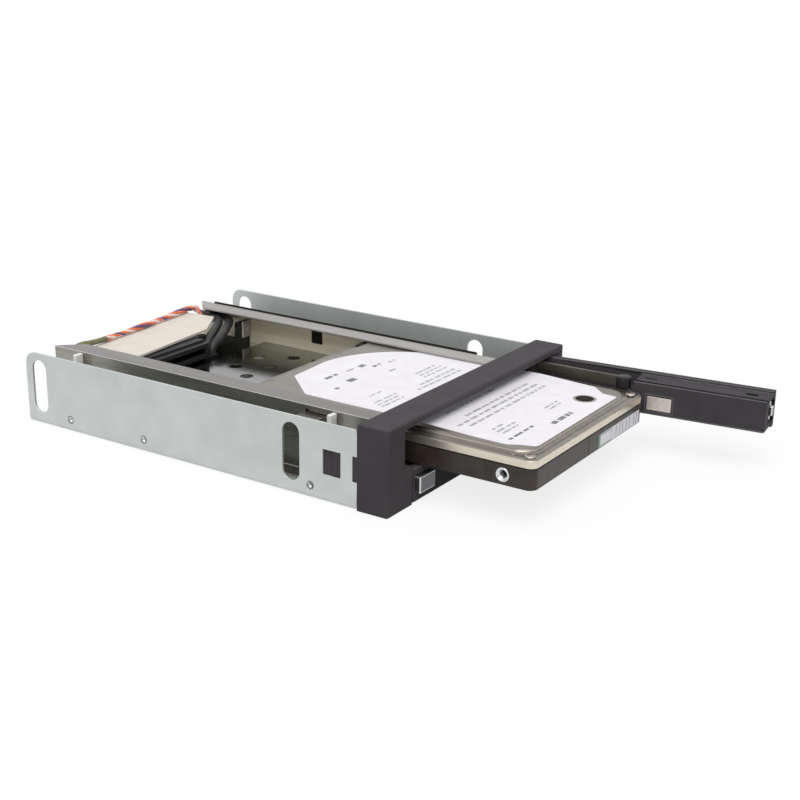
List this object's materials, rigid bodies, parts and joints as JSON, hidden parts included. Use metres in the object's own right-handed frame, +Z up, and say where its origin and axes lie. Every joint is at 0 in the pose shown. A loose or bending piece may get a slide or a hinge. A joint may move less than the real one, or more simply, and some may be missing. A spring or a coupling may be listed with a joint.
{
  "type": "hot-swap drive backplane",
  "caption": "Trayless hot-swap rack for small drives: folded steel tray and cage, backplane board with sockets, moulded bezel with swinging doors and release buttons.",
  "frame": {"origin": "centre of the tray's underside", "axes": "+X across to the hinge side, -Y out of the front, +Z up"},
  "size_m": [0.1047, 0.211, 0.025],
  "materials": {
    "tray_steel": "galvanised sheet steel",
    "cage_steel": "galvanised sheet steel, matt",
    "fixings": "zinc-plated steel",
    "moulding": "charcoal moulding",
    "plates": "plain steel strip",
    "buttons": "silver-painted moulding",
    "board": "solder-masked circuit board",
    "connectors": "black moulding",
    "strip": "ivory insulating sheet",
    "wires": "vinyl insulation",
    "leads": "black insulation",
    "drive_cover": "stamped cover",
    "drive_base": "dark coated casting",
    "drive_screws": "plated steel",
    "drive_circuit": "solder-masked circuit board",
    "drive_plug": "black moulding"
  },
  "bodies": {
    "rack": {"outer_tray": "tray_steel", "near_cage_side": "cage_steel", "far_cage_side": "cage_steel", "cage_screws": "fixings", "mid_plate": "cage_steel", "front_bezel": "moulding", "hinge_pin": "fixings", "backplane_board": "board", "board_screws": "fixings", "upper_drive_socket": "connectors", "lower_drive_socket": "connectors", "upper_data_port": "connectors", "lower_data_port": "connectors", "power_port": "connectors", "rear_strip": "strip", "wire_header": "connectors", "wire_bundle": "wires", "black_leads": "leads", "lead_plug": "connectors", "lead_joint": "connectors"},
    "upper_door": {"upper_door": "moulding", "upper_push_plate": "plates", "upper_plate_pin": "fixings", "upper_latch_plate": "plates", "upper_button_spring": "fixings"},
    "upper_button": {"upper_button": "buttons"},
    "lower_door": {"lower_door": "moulding", "lower_push_plate": "plates", "lower_plate_pin": "fixings", "lower_latch_plate": "plates", "lower_button_spring": "fixings"},
    "lower_button": {"lower_button": "buttons"},
    "drive": {"drive_casting": "drive_base", "drive_cover": "drive_cover", "drive_cover_screws": "drive_screws", "drive_board": "drive_circuit", "drive_connector": "drive_plug"}
  },
  "joints": [
    {"name": "upper_door_hinge", "type": "hinge", "parent": "rack", "child": "upper_door", "pos_m": [0.0387, -0.0676, 0.0168], "axis": [0, 0, 1], "range_deg": [-2, 5]},
    {"name": "upper_button_press", "type": "slide", "parent": "upper_door", "child": "upper_button", "axis": [-0.9945, -0.1045, 0], "range_m": [0, 0.0012], "stiffness_N_per_m": 300},
    {"name": "lower_door_hinge", "type": "hinge", "parent": "rack", "child": "lower_door", "pos_m": [0.0387, -0.0676, 0.0058], "axis": [0, 0, 1], "range_deg": [0, 95]},
    {"name": "lower_button_press", "type": "slide", "parent": "lower_door", "child": "lower_button", "axis": [0, 1, 0], "range_m": [0, 0.0012], "stiffness_N_per_m": 300},
    {"name": "drive_slide", "type": "slide", "parent": "rack", "child": "drive", "axis": [0, 1, 0], "range_m": [-0.066, 0.0482]}
  ]
}
